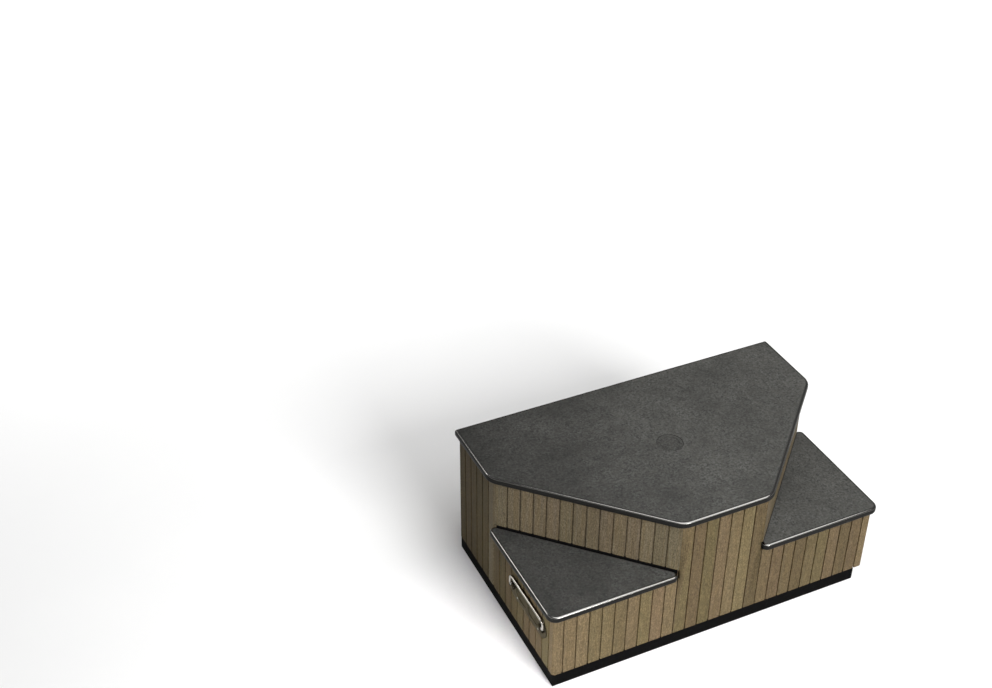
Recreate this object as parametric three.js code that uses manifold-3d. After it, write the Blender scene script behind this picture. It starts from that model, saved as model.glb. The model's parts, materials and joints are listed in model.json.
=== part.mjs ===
// Two-level spa steps: a slat-clad box with a full-height middle, a triangular lower tread in each
// front corner, a black plinth, an inner timber frame and a folding bail handle on the left face.
// Millimetres, +X right, -Y front, +Y towards the tub, +Z up. Origin: bottom centre.
import * as THREE from "three";
import { mergeVertices } from "three/addons/utils/BufferGeometryUtils.js";
import Module from "manifold-3d";

const wasm = await Module();
wasm.setup();

// Driving dimensions.
const CLAD_WIDTH = 1088;
const CLAD_DEPTH = 650;
const OVERHANG = 12;
const SIDE_OVERHANG = 18;
const PLINTH_HEIGHT = 45;
const LOWER_TREAD_TOP = 290;
const UPPER_TREAD_TOP = 490;
const TREAD_THICKNESS = 22;
const TREAD_EDGE_RADIUS = 7;
const TOP_TREAD_CORNER_RADIUS = 60;
const LOWER_TREAD_CORNER_RADIUS = 30;
const TREAD_REAR_RADIUS = 8;
const TREAD_TIP_RADIUS = 18;
const TREAD_TUCK = 8;
const RECESS_RADIUS = 40;
const RECESS_DEPTH = 1.2;

const SLAT_PITCH = 41;
const SLATS_FRONT_CENTRE = 7;
const SLATS_FRONT_SIDE = 9;
const SLATS_REAR_SIDE = 5;
const SLATS_RISER = 13;
const CLAD_THICKNESS = 11;
const GROOVE_WIDTH = 3;
const GROOVE_DEPTH = 4;
const FRONT_CORNER_RADIUS = 10;
const SHOULDER_CORNER_RADIUS = 30;
const RISER_GAP = 12;
const NOTCH_LENGTH = 5;

const TIMBER = 38;
const PLINTH_RAIL_WIDTH = 40;
const PLINTH_INSET = 1;
const PLINTH_INSET_RIGHT = 30;
const JOIST_X = [-310, 0, 310];
const RISER_STUD_AT = { rear: 190, front: 385 };
const SHOULDER_STUD_SETBACK = 5;
const CENTRE_POST_X = 138.8;
const CORNER_POST_INSET = 12;

const HANDLE_CENTRE_Y = -156;
const HANDLE_PIVOT_Z = 184;
const PLATE_LENGTH = 240;
const PLATE_HEIGHT = 72;
const PLATE_DROP = 8;
const PLATE_THICKNESS = 2.2;
const PLATE_EDGE = 0.7;
const BAIL_SPAN = 214;
const BAIL_RISE = 30;
const BAIL_ROD_RADIUS = 4;
const BAIL_BEND_RADIUS = 12;
const BAIL_STANDOFF = 7;
const PIVOT_RADIUS = 2.5;
const PIVOT_CLEARANCE = 0.3;
const PIVOT_LENGTH = 26;
const BRACKET_RADIUS = 4.6;
const BRACKET_WIDTH = 13;
const BRACKET_OFFSET = 19;
const STOP_DROP = 5;
const STOP_THICKNESS = 3;
const SPRING_WIRE_RADIUS = 0.6;
const SPRING_COIL_RADIUS = 3.5;
const SPRING_TURNS = 4;
const SPRING_PITCH = 1.4;
const SPRING_TAIL = 9;
const SCREW_HEAD_RADIUS = 3.5;
const SCREW_HEAD_DEPTH = 1.7;
const SCREW_SHANK_RADIUS = 1.8;
const SCREW_LENGTH = 12;
const SCREW_SPACING_Y = 136;
const SCREW_SPACING_Z = 50;

// Clearance between neighbouring pieces, and how far a cutter runs past what it cuts.
const GAP = 0.3;
const CUT_MARGIN = 1;

// How finely round shapes are drawn: facets in each turn of an outline and in a tread's rounded edge,
// facets around circles and wires, and steps along the bail and the spring.
const CORNER_FACETS = 4;
const EDGE_FACETS = 3;
const RECESS_FACETS = 32;
const SMALL_ROUND_FACETS = 20;
const WIRE_FACETS = 8;
const TAIL_FACETS = 10;
const BAIL_STEPS = 90;
const SPRING_STEPS_PER_TURN = 16;

// Values worked out from the driving dimensions.
const HALF_WIDTH = CLAD_WIDTH / 2;
const BACK_Y = (CLAD_DEPTH + OVERHANG) / 2;
const FRONT_Y = BACK_Y - CLAD_DEPTH;
const NOSE_X = (SLATS_FRONT_CENTRE * SLAT_PITCH) / 2;
const SHOULDER_Y = FRONT_Y + (HALF_WIDTH - NOSE_X);
const RISER_SUM = SHOULDER_Y - HALF_WIDTH;
const CORNER_LEG = HALF_WIDTH - NOSE_X - SLATS_FRONT_SIDE * SLAT_PITCH;
const SHOULDER_LEG = SLAT_PITCH;
const CLAD_BOTTOM = PLINTH_HEIGHT + GAP;
const LOWER_TREAD_BOTTOM = LOWER_TREAD_TOP - TREAD_THICKNESS;
const UPPER_TREAD_BOTTOM = UPPER_TREAD_TOP - TREAD_THICKNESS;
const LOWER_CLAD_TOP = LOWER_TREAD_BOTTOM - GAP;
const UPPER_CLAD_TOP = UPPER_TREAD_BOTTOM - GAP;
const RISER_BOTTOM = LOWER_TREAD_TOP + RISER_GAP;
const FRAME_OUTER = CLAD_THICKNESS + GAP;
const FRAME_INNER = FRAME_OUTER + TIMBER;
const TOP_RAIL_BOTTOM = UPPER_CLAD_TOP - TIMBER;
const POST_TOP = TOP_RAIL_BOTTOM - GAP;
const BEARER_BOTTOM = LOWER_CLAD_TOP - TIMBER;
const PIVOT_X = -HALF_WIDTH - BAIL_STANDOFF;
const PLATE_CENTRE_Z = HANDLE_PIVOT_Z - PLATE_DROP;
const LEFT = -1;
const RIGHT = 1;
const SIDES = [
  ["left", LEFT],
  ["right", RIGHT],
];

const finishes = {
  tread: { color: 0x45464a, roughness: 0.6, metalness: 0 },
  slats: { color: 0x8f7d60, roughness: 0.75, metalness: 0 },
  plinth: { color: 0x151416, roughness: 0.6, metalness: 0 },
  rubber: { color: 0x0c0c0d, roughness: 0.9, metalness: 0 },
  timber: { color: 0xb79a6b, roughness: 0.85, metalness: 0 },
  chrome: { color: 0xd8d8d6, roughness: 0.15, metalness: 1 },
  plate: { color: 0x8c8a80, roughness: 0.45, metalness: 0.8 },
  steel: { color: 0x9a9a9c, roughness: 0.35, metalness: 1 },
};

const steps = new THREE.Group();

function addMesh(name, geometry, finish) {
  const mesh = new THREE.Mesh(geometry, new THREE.MeshStandardMaterial(finishes[finish]));
  mesh.name = name;
  steps.add(mesh);
  return mesh;
}

// A closed solid for joining and cutting, and back to a geometry.
function toSolid(geometry) {
  const bare = geometry.clone();
  bare.deleteAttribute("normal");
  bare.deleteAttribute("uv");
  const merged = mergeVertices(bare);
  return new wasm.Manifold(
    new wasm.Mesh({
      numProp: 3,
      vertProperties: merged.attributes.position.array,
      triVerts: new Uint32Array(merged.index.array),
    }),
  );
}

function toGeometry(solid) {
  const mesh = solid.getMesh();
  const geometry = new THREE.BufferGeometry();
  geometry.setAttribute("position", new THREE.BufferAttribute(mesh.vertProperties, 3));
  geometry.setIndex(new THREE.BufferAttribute(mesh.triVerts, 1));
  return geometry;
}

function subtract(geometry, ...cutters) {
  let solid = toSolid(geometry);
  for (const cutter of cutters) {
    solid = solid.subtract(toSolid(cutter));
  }
  return toGeometry(solid);
}

function union(geometry, ...others) {
  let solid = toSolid(geometry);
  for (const other of others) {
    solid = solid.add(toSolid(other));
  }
  return toGeometry(solid);
}

// A closed outline from corners [x, y, radius]; a corner with a radius is rounded by an arc.
function roundedShape(corners) {
  const shape = new THREE.Shape();
  corners.forEach(([x, y, radius = 0], index) => {
    const here = new THREE.Vector2(x, y);
    const before = new THREE.Vector2(...corners.at(index - 1));
    const after = new THREE.Vector2(...corners[(index + 1) % corners.length]);
    const toBefore = before.sub(here).normalize();
    const toAfter = after.sub(here).normalize();
    const halfAngle = Math.acos(toBefore.dot(toAfter)) / 2;
    const setback = radius / Math.tan(halfAngle);
    const start = here.clone().addScaledVector(toBefore, setback);
    if (index === 0) {
      shape.moveTo(start.x, start.y);
    } else {
      shape.lineTo(start.x, start.y);
    }
    if (radius > 0) {
      const end = here.clone().addScaledVector(toAfter, setback);
      const inward = toBefore.clone().add(toAfter).normalize();
      const centre = here.clone().addScaledVector(inward, radius / Math.sin(halfAngle));
      const startAngle = start.sub(centre).angle();
      const endAngle = end.sub(centre).angle();
      shape.absarc(centre.x, centre.y, radius, startAngle, endAngle, toBefore.cross(toAfter) > 0);
    }
  });
  return shape;
}

// An upright prism on a plan outline, from one height to another.
function prism(corners, low, high) {
  const geometry = new THREE.ExtrudeGeometry(roundedShape(corners), {
    depth: high - low,
    bevelEnabled: false,
    curveSegments: CORNER_FACETS,
  });
  return geometry.translate(0, 0, low);
}

function box(xRange, yRange, zRange) {
  const [x0, x1] = xRange;
  const [y0, y1] = yRange;
  const [z0, z1] = zRange;
  const geometry = new THREE.BoxGeometry(x1 - x0, y1 - y0, z1 - z0);
  return geometry.translate((x0 + x1) / 2, (y0 + y1) / 2, (z0 + z1) / 2);
}

// The left half's outline seen in a mirror, for the right half.
function onSide(side, corners) {
  return corners.map(([x, y, radius = 0]) => [-side * x, y, radius]);
}

// The y of the line that runs parallel to the left riser, depth inside its outer face, at x.
function riserLineY(x, depth) {
  return RISER_SUM + depth * Math.SQRT2 - x;
}

// Treads: flat boards with all edges rounded over.
function treadGeometry(corners, top) {
  const geometry = new THREE.ExtrudeGeometry(roundedShape(corners), {
    depth: TREAD_THICKNESS - 2 * TREAD_EDGE_RADIUS,
    bevelThickness: TREAD_EDGE_RADIUS,
    bevelSize: TREAD_EDGE_RADIUS,
    bevelOffset: -TREAD_EDGE_RADIUS,
    bevelSegments: EDGE_FACETS,
    curveSegments: CORNER_FACETS,
  });
  return geometry.translate(0, 0, top - TREAD_THICKNESS + TREAD_EDGE_RADIUS);
}

function addTopTread() {
  const edgeX = HALF_WIDTH + SIDE_OVERHANG;
  const edgeY = FRONT_Y - OVERHANG;
  const shoulderY = riserLineY(-edgeX, -OVERHANG);
  const noseX = -(RISER_SUM - OVERHANG * Math.SQRT2 - edgeY);
  const halfOutline = [
    [-edgeX, BACK_Y, TREAD_REAR_RADIUS],
    [-edgeX, shoulderY, TOP_TREAD_CORNER_RADIUS],
    [-noseX, edgeY, TOP_TREAD_CORNER_RADIUS],
  ];
  const outline = [...halfOutline, ...onSide(RIGHT, halfOutline).reverse()];
  const recess = new THREE.CylinderGeometry(RECESS_RADIUS, RECESS_RADIUS, 2 * RECESS_DEPTH, RECESS_FACETS);
  recess.rotateX(Math.PI / 2).translate(0, 0, UPPER_TREAD_TOP);
  addMesh("top_tread", subtract(treadGeometry(outline, UPPER_TREAD_TOP), recess), "tread");
}

function addLowerTread(label, side) {
  const edgeX = -HALF_WIDTH - SIDE_OVERHANG;
  const edgeY = FRONT_Y - OVERHANG;
  const outline = [
    [edgeX, riserLineY(edgeX, TREAD_TUCK), TREAD_TIP_RADIUS],
    [edgeX, edgeY, LOWER_TREAD_CORNER_RADIUS],
    [RISER_SUM + TREAD_TUCK * Math.SQRT2 - edgeY, edgeY, TREAD_TIP_RADIUS],
  ];
  addMesh(`${label}_lower_tread`, treadGeometry(onSide(side, outline), LOWER_TREAD_TOP), "tread");
}

// A panel of upright slats with a groove at each joint. It runs from start to end with its outer
// face on the right-hand side. A mitre draws the inner face in at that end.
function slatPanel(name, start, end, slats, low, high, startMitre = 0, endMitre = 0) {
  const along = new THREE.Vector2(...end).sub(new THREE.Vector2(...start));
  const first = GAP / 2;
  const last = along.length() - GAP / 2;
  const pitch = along.length() / slats;
  const outline = [[first, 0]];
  for (let joint = 1; joint < slats; joint += 1) {
    const middle = joint * pitch;
    outline.push([middle - GROOVE_WIDTH / 2, 0]);
    outline.push([middle - GROOVE_WIDTH / 2, GROOVE_DEPTH]);
    outline.push([middle + GROOVE_WIDTH / 2, GROOVE_DEPTH]);
    outline.push([middle + GROOVE_WIDTH / 2, 0]);
  }
  outline.push([last, 0], [last - endMitre, CLAD_THICKNESS], [first + startMitre, CLAD_THICKNESS]);
  const geometry = prism(outline, low, high);
  geometry.rotateZ(along.angle()).translate(start[0], start[1], 0);
  return addMesh(name, geometry, "slats");
}

// The plan turns by 45 degrees at the shoulders and at the nose, so each mitre takes half of that.
const MITRE = CLAD_THICKNESS * Math.tan(Math.PI / 8);

function addFrontPanels() {
  const centre = slatPanel(
    "front_centre_panel",
    [-NOSE_X, FRONT_Y],
    [NOSE_X, FRONT_Y],
    SLATS_FRONT_CENTRE,
    CLAD_BOTTOM,
    UPPER_CLAD_TOP,
    MITRE,
    MITRE,
  );
  const notchDepth = [FRONT_Y - CUT_MARGIN, FRONT_Y + CLAD_THICKNESS + CUT_MARGIN];
  const notches = SIDES.map(([, side]) => {
    const edges = [side * (NOSE_X - NOTCH_LENGTH), side * (NOSE_X + CUT_MARGIN)].sort((a, b) => a - b);
    return box(edges, notchDepth, [LOWER_CLAD_TOP, RISER_BOTTOM]);
  });
  centre.geometry = subtract(centre.geometry, ...notches);
  for (const [label, side] of SIDES) {
    const [x0, x1] = [side * NOSE_X, side * (HALF_WIDTH - CORNER_LEG)].sort((a, b) => a - b);
    const name = `front_${label}_panel`;
    slatPanel(name, [x0, FRONT_Y], [x1, FRONT_Y], SLATS_FRONT_SIDE, CLAD_BOTTOM, LOWER_CLAD_TOP);
  }
}

// Panels seen from the left or the right. Their points run from the rear to the front on the left
// and the other way on the right, which keeps the outer face outside.
function sidePanel(name, side, rear, front, slats, low, high, frontMitre = 0) {
  const [start, end] = onSide(side, side === LEFT ? [rear, front] : [front, rear]);
  const mitres = side === LEFT ? [0, frontMitre] : [frontMitre, 0];
  return slatPanel(name, start.slice(0, 2), end.slice(0, 2), slats, low, high, ...mitres);
}

function addSidePanels(label, side) {
  const low = [CLAD_BOTTOM, LOWER_CLAD_TOP];
  const tall = [CLAD_BOTTOM, UPPER_CLAD_TOP];
  const cornerY = FRONT_Y + CORNER_LEG;
  const postY = SHOULDER_Y + SHOULDER_LEG;
  const legAlong = SHOULDER_LEG / Math.SQRT2;
  const x = -HALF_WIDTH;
  const front = sidePanel(
    `${label}_side_panel`,
    side,
    [x, SHOULDER_Y],
    [x, cornerY],
    SLATS_FRONT_SIDE,
    ...low,
  );
  sidePanel(`${label}_rear_panel`, side, [x, BACK_Y], [x, postY], SLATS_REAR_SIDE, ...tall);
  sidePanel(
    `${label}_riser_panel`,
    side,
    [x + legAlong, SHOULDER_Y - legAlong],
    [-NOSE_X, FRONT_Y],
    SLATS_RISER,
    RISER_BOTTOM,
    UPPER_CLAD_TOP,
    MITRE,
  );
  return front;
}

// Rounded corner moulding at the front, as high as the lower cladding.
function addFrontCorner(label, side) {
  const leg = CORNER_LEG - GAP / 2;
  const x = -HALF_WIDTH;
  const y = FRONT_Y;
  const outline = [
    [x, y + leg],
    [x, y, FRONT_CORNER_RADIUS],
    [x + leg, y],
    [x + leg, y + CLAD_THICKNESS],
    [x + CLAD_THICKNESS, y + CLAD_THICKNESS],
    [x + CLAD_THICKNESS, y + leg],
  ];
  addMesh(`front_${label}_corner`, prism(onSide(side, outline), CLAD_BOTTOM, LOWER_CLAD_TOP), "slats");
}

// Corner moulding at the shoulder: a full-height slat on the side face, turning the corner onto the
// riser above the lower tread. The tread's tip sits in the notch between the two.
function addShoulderCorner(label, side) {
  const leg = SHOULDER_LEG - GAP / 2;
  const legAlong = leg / Math.SQRT2;
  const x = -HALF_WIDTH;
  const rearY = SHOULDER_Y + leg;
  const inner = CLAD_THICKNESS / Math.SQRT2;
  const upper = [
    [x, rearY],
    [x, SHOULDER_Y, SHOULDER_CORNER_RADIUS],
    [x + legAlong, SHOULDER_Y - legAlong],
    [x + legAlong + inner, SHOULDER_Y - legAlong + inner],
    [x + CLAD_THICKNESS, SHOULDER_Y + MITRE],
    [x + CLAD_THICKNESS, rearY],
  ];
  const lower = [
    [x, rearY],
    [x, SHOULDER_Y + GAP / 2],
    [x + CLAD_THICKNESS, SHOULDER_Y + GAP / 2],
    [x + CLAD_THICKNESS, rearY],
  ];
  const whole = union(
    prism(onSide(side, upper), RISER_BOTTOM, UPPER_CLAD_TOP),
    prism(onSide(side, lower), CLAD_BOTTOM, RISER_BOTTOM + CUT_MARGIN),
  );
  const notch = onSide(side, [
    [x - CUT_MARGIN, SHOULDER_Y - CUT_MARGIN],
    [x + CLAD_THICKNESS + CUT_MARGIN, SHOULDER_Y - CUT_MARGIN],
    [x + CLAD_THICKNESS + CUT_MARGIN, SHOULDER_Y + NOTCH_LENGTH],
    [x - CUT_MARGIN, SHOULDER_Y + NOTCH_LENGTH],
  ]);
  const cut = subtract(whole, prism(notch, LOWER_CLAD_TOP, RISER_BOTTOM));
  addMesh(`${label}_shoulder_corner`, cut, "slats");
}

// Base: a ring of plinth rails on the floor and a sole rail under each riser.
function addBase() {
  const leftX = -HALF_WIDTH + PLINTH_INSET;
  const rightX = HALF_WIDTH - PLINTH_INSET_RIGHT;
  const frontY = FRONT_Y + PLINTH_INSET;
  const wide = [leftX, rightX];
  const high = [0, PLINTH_HEIGHT];
  const frontInner = frontY + PLINTH_RAIL_WIDTH;
  const rearInner = BACK_Y - PLINTH_RAIL_WIDTH;
  const between = [frontInner + GAP, rearInner - GAP];
  addMesh("front_plinth_rail", box(wide, [frontY, frontInner], high), "plinth");
  addMesh("rear_plinth_rail", box(wide, [rearInner, BACK_Y], high), "plinth");
  addMesh("left_plinth_rail", box([leftX, leftX + PLINTH_RAIL_WIDTH], between, high), "plinth");
  addMesh("right_plinth_rail", box([rightX - PLINTH_RAIL_WIDTH, rightX], between, high), "plinth");
  const soleInset = { left: PLINTH_INSET, right: PLINTH_INSET_RIGHT };
  for (const [label, side] of SIDES) {
    const x = -HALF_WIDTH + soleInset[label] + PLINTH_RAIL_WIDTH + GAP;
    const y = frontInner + GAP;
    const sole = [
      [x, riserLineY(x, FRAME_OUTER)],
      [riserLineY(y, FRAME_OUTER), y],
      [riserLineY(y, FRAME_INNER), y],
      [x, riserLineY(x, FRAME_INNER)],
    ];
    addMesh(`${label}_sole_rail`, prism(onSide(side, sole), 0, PLINTH_HEIGHT), "plinth");
  }
}

function addPost(name, side, x, y, top) {
  const outline = [
    [x, y],
    [x + TIMBER, y],
    [x + TIMBER, y + TIMBER],
    [x, y + TIMBER],
  ];
  addMesh(name, prism(onSide(side, outline), CLAD_BOTTOM, top), "timber");
}

function addPosts(label, side) {
  const x = -HALF_WIDTH + FRAME_OUTER;
  const y = FRONT_Y + FRAME_OUTER;
  addPost(`${label}_rear_post`, side, x, BACK_Y - TIMBER, POST_TOP);
  addPost(`${label}_shoulder_stud`, side, x, SHOULDER_Y + SHOULDER_STUD_SETBACK, POST_TOP);
  addPost(`${label}_centre_post`, side, -CENTRE_POST_X, y, POST_TOP);
  const cornerX = -HALF_WIDTH + CORNER_POST_INSET;
  addPost(`${label}_corner_post`, side, cornerX, FRONT_Y + CORNER_POST_INSET, LOWER_CLAD_TOP);
  for (const [place, distance] of Object.entries(RISER_STUD_AT)) {
    const stud = [
      [distance - TIMBER / 2, FRAME_OUTER],
      [distance + TIMBER / 2, FRAME_OUTER],
      [distance + TIMBER / 2, FRAME_INNER],
      [distance - TIMBER / 2, FRAME_INNER],
    ].map(([s, depth]) => [
      -HALF_WIDTH + (s + depth) / Math.SQRT2,
      SHOULDER_Y + (depth - s) / Math.SQRT2,
    ]);
    addMesh(`${label}_riser_stud_${place}`, prism(onSide(side, stud), CLAD_BOTTOM, POST_TOP), "timber");
  }
}

// Top frame: rails that follow the plan of the cladding, with joists between front and rear.
function addTopFrame() {
  const high = [TOP_RAIL_BOTTOM, UPPER_CLAD_TOP];
  const outerX = -HALF_WIDTH + FRAME_OUTER;
  const innerX = -HALF_WIDTH + FRAME_INNER;
  const outerY = FRONT_Y + FRAME_OUTER;
  const innerY = FRONT_Y + FRAME_INNER;
  const rearY = BACK_Y - TIMBER;
  const noseOuter = riserLineY(outerY, FRAME_OUTER);
  const noseInner = riserLineY(innerY, FRAME_INNER);
  addMesh("rear_top_rail", box([outerX, -outerX], [rearY, BACK_Y], high), "timber");
  const front = [
    [noseOuter + GAP, outerY],
    [-noseOuter - GAP, outerY],
    [-noseInner - GAP, innerY],
    [noseInner + GAP, innerY],
  ];
  addMesh("front_top_rail", prism(front, ...high), "timber");
  for (const [label, side] of SIDES) {
    const sideRail = [
      [outerX, rearY - GAP],
      [outerX, riserLineY(outerX, FRAME_OUTER) + GAP],
      [innerX, riserLineY(innerX, FRAME_INNER) + GAP],
      [innerX, rearY - GAP],
    ];
    const riserRail = [
      [outerX, riserLineY(outerX, FRAME_OUTER)],
      [noseOuter, outerY],
      [noseInner, innerY],
      [innerX, riserLineY(innerX, FRAME_INNER)],
    ];
    addMesh(`${label}_top_rail`, prism(onSide(side, sideRail), ...high), "timber");
    addMesh(`${label}_riser_top_rail`, prism(onSide(side, riserRail), ...high), "timber");
  }
  JOIST_X.forEach((x, index) => {
    const side = x > 0 ? RIGHT : LEFT;
    const near = -Math.abs(x) - TIMBER / 2;
    const far = near + TIMBER;
    const frontEnd = (edge) => Math.max(innerY, riserLineY(edge, FRAME_INNER)) + GAP * Math.SQRT2;
    const joist = [
      [near, frontEnd(near)],
      [far, frontEnd(far)],
      [far, rearY - GAP],
      [near, rearY - GAP],
    ];
    addMesh(`tread_joist_${index + 1}`, prism(onSide(side, joist), ...high), "timber");
  });
}

// Bearers under a lower tread, behind the side and front cladding and along the riser, and the black
// seal that closes the gap between the tread and the riser from behind.
function addBearers(label, side) {
  const high = [BEARER_BOTTOM, LOWER_CLAD_TOP];
  const x = -HALF_WIDTH + FRAME_OUTER;
  const y = FRONT_Y + FRAME_OUTER;
  const outer = CLAD_THICKNESS - TIMBER;
  const clear = outer - GAP;
  const postEnd = CORNER_POST_INSET + TIMBER + GAP;
  const riser = [
    [x, riserLineY(x, outer)],
    [riserLineY(y, outer), y],
    [riserLineY(y, CLAD_THICKNESS), y],
    [x, riserLineY(x, CLAD_THICKNESS)],
  ];
  const sideBearer = [
    [x, FRONT_Y + postEnd],
    [x + TIMBER, FRONT_Y + postEnd],
    [x + TIMBER, riserLineY(x + TIMBER, clear)],
    [x, riserLineY(x, clear)],
  ];
  const frontBearer = [
    [-HALF_WIDTH + postEnd, y],
    [riserLineY(y, clear), y],
    [riserLineY(y + TIMBER, clear), y + TIMBER],
    [-HALF_WIDTH + postEnd, y + TIMBER],
  ];
  const seal = [
    [x, riserLineY(x, TREAD_TUCK + GAP)],
    [riserLineY(y, TREAD_TUCK + GAP), y],
    [riserLineY(y, CLAD_THICKNESS), y],
    [x, riserLineY(x, CLAD_THICKNESS)],
  ];
  const sealHigh = [LOWER_TREAD_BOTTOM, RISER_BOTTOM - GAP];
  addMesh(`${label}_riser_seal`, prism(onSide(side, seal), ...sealHigh), "rubber");
  addMesh(`${label}_riser_bearer`, prism(onSide(side, riser), ...high), "timber");
  addMesh(`${label}_side_bearer`, prism(onSide(side, sideBearer), ...high), "timber");
  addMesh(`${label}_front_bearer`, prism(onSide(side, frontBearer), ...high), "timber");
}

// Places around the handle: screw positions in the plate, and the two ends of the bail.
const SCREW_PLACES = [-1, 1].flatMap((sideY) =>
  [-1, 1].map((sideZ) => [
    HANDLE_CENTRE_Y + (sideY * SCREW_SPACING_Y) / 2,
    PLATE_CENTRE_Z + (sideZ * SCREW_SPACING_Z) / 2,
  ]),
);
const HANDLE_ENDS = [
  ["front", -1],
  ["rear", 1],
];

// A countersunk screw driven into the left face at [y, z], its head flush with the plate. Grown by
// clearance it is the cutter for its own hole: the 45-degree head then starts wider, above the plate.
function screwGeometry([y, z], clearance = 0) {
  const profile = [
    [0, -clearance],
    [SCREW_HEAD_RADIUS + 2 * clearance, -clearance],
    [SCREW_SHANK_RADIUS + clearance, SCREW_HEAD_DEPTH],
    [SCREW_SHANK_RADIUS + clearance, SCREW_LENGTH - SCREW_SHANK_RADIUS],
    [0, SCREW_LENGTH + clearance],
  ];
  const points = profile.map(([radius, depth]) => new THREE.Vector2(radius, depth));
  const geometry = new THREE.LatheGeometry(points, SMALL_ROUND_FACETS).rotateZ(-Math.PI / 2);
  return geometry.translate(-HALF_WIDTH - GAP - PLATE_THICKNESS, y, z);
}

// Plate with half-round ends. It is drawn lying down, its length along x, and then turned to lie on
// the left face.
function addHandlePlate() {
  const end = PLATE_HEIGHT / 2;
  const endAt = PLATE_LENGTH / 2 - end;
  const shape = new THREE.Shape();
  shape.absarc(endAt, 0, end, -Math.PI / 2, Math.PI / 2, false);
  shape.absarc(-endAt, 0, end, Math.PI / 2, -Math.PI / 2, false);
  const plate = new THREE.ExtrudeGeometry(shape, {
    depth: PLATE_THICKNESS - 2 * PLATE_EDGE,
    bevelThickness: PLATE_EDGE,
    bevelSize: PLATE_EDGE,
    bevelOffset: -PLATE_EDGE,
    bevelSegments: EDGE_FACETS,
    curveSegments: 2 * CORNER_FACETS,
  });
  plate.rotateX(Math.PI / 2).rotateZ(-Math.PI / 2);
  plate.translate(-HALF_WIDTH - GAP - PLATE_EDGE, HANDLE_CENTRE_Y, PLATE_CENTRE_Z);
  const holes = SCREW_PLACES.map((place) => screwGeometry(place, GAP));
  addMesh("handle_plate", subtract(plate, ...holes), "plate");
}

// The bail: one bent rod, with thinner pivots turned inwards at the feet of its two legs.
function addHandleBail() {
  const halfSpan = BAIL_SPAN / 2;
  const straight = halfSpan - BAIL_BEND_RADIUS;
  const foot = HANDLE_PIVOT_Z;
  const top = foot + BAIL_RISE;
  const at = (y, z) => new THREE.Vector3(PIVOT_X, HANDLE_CENTRE_Y + y, z);
  const path = new THREE.CurvePath();
  const bend = (startY, startZ, cornerY, cornerZ, endY, endZ) =>
    path.add(new THREE.QuadraticBezierCurve3(at(startY, startZ), at(cornerY, cornerZ), at(endY, endZ)));
  path.add(new THREE.LineCurve3(at(-halfSpan, foot), at(-halfSpan, top - BAIL_BEND_RADIUS)));
  bend(-halfSpan, top - BAIL_BEND_RADIUS, -halfSpan, top, -straight, top);
  path.add(new THREE.LineCurve3(at(-straight, top), at(straight, top)));
  bend(straight, top, halfSpan, top, halfSpan, top - BAIL_BEND_RADIUS);
  path.add(new THREE.LineCurve3(at(halfSpan, top - BAIL_BEND_RADIUS), at(halfSpan, foot)));
  const section = new THREE.Shape();
  section.absarc(0, 0, BAIL_ROD_RADIUS, 0, 2 * Math.PI);
  const rod = new THREE.ExtrudeGeometry(section, {
    steps: BAIL_STEPS,
    extrudePath: path,
    bevelEnabled: false,
    curveSegments: WIRE_FACETS,
  });
  const feet = HANDLE_ENDS.flatMap(([, sign]) => {
    const ball = new THREE.SphereGeometry(BAIL_ROD_RADIUS, SMALL_ROUND_FACETS, SMALL_ROUND_FACETS / 2);
    ball.translate(PIVOT_X, HANDLE_CENTRE_Y + sign * halfSpan, foot);
    const pivot = new THREE.CylinderGeometry(PIVOT_RADIUS, PIVOT_RADIUS, PIVOT_LENGTH, SMALL_ROUND_FACETS);
    pivot.translate(PIVOT_X, HANDLE_CENTRE_Y + sign * (halfSpan - PIVOT_LENGTH / 2), foot);
    return [ball, pivot];
  });
  addMesh("handle_bail", union(rod, ...feet), "chrome");
}

// A bracket on the plate: a round-nosed block bored for the pivot, with a ledge under the leg that
// stops the bail when it stands out from the face.
function addHandleBracket(label, sign) {
  const bodyY = HANDLE_CENTRE_Y + sign * (BAIL_SPAN / 2 - BRACKET_OFFSET);
  const plateX = -HALF_WIDTH - PLATE_THICKNESS - 2 * GAP;
  const reach = plateX - PIVOT_X;
  const profile = new THREE.Shape();
  profile.moveTo(reach, -BRACKET_RADIUS - STOP_THICKNESS);
  profile.lineTo(reach, BRACKET_RADIUS);
  profile.lineTo(0, BRACKET_RADIUS);
  profile.absarc(0, 0, BRACKET_RADIUS, Math.PI / 2, Math.PI, false);
  profile.lineTo(-BRACKET_RADIUS, -BRACKET_RADIUS - STOP_THICKNESS);
  const block = new THREE.ExtrudeGeometry(profile, {
    depth: BRACKET_WIDTH,
    bevelEnabled: false,
    curveSegments: 2 * CORNER_FACETS,
  });
  block.rotateX(Math.PI / 2).translate(PIVOT_X, bodyY + BRACKET_WIDTH / 2, HANDLE_PIVOT_Z);
  const ledgeEnds = [bodyY, HANDLE_CENTRE_Y + sign * (BAIL_SPAN / 2 + BAIL_ROD_RADIUS)];
  const ledge = box(
    [PIVOT_X - BRACKET_RADIUS, plateX],
    ledgeEnds.sort((a, b) => a - b),
    [HANDLE_PIVOT_Z - BRACKET_RADIUS - STOP_THICKNESS, HANDLE_PIVOT_Z - STOP_DROP],
  );
  const bore = new THREE.CylinderGeometry(
    PIVOT_RADIUS + PIVOT_CLEARANCE,
    PIVOT_RADIUS + PIVOT_CLEARANCE,
    2 * BRACKET_WIDTH,
    SMALL_ROUND_FACETS,
  );
  bore.translate(PIVOT_X, bodyY, HANDLE_PIVOT_Z);
  addMesh(`handle_bracket_${label}`, subtract(union(block, ledge), bore), "plate");
}

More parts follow.
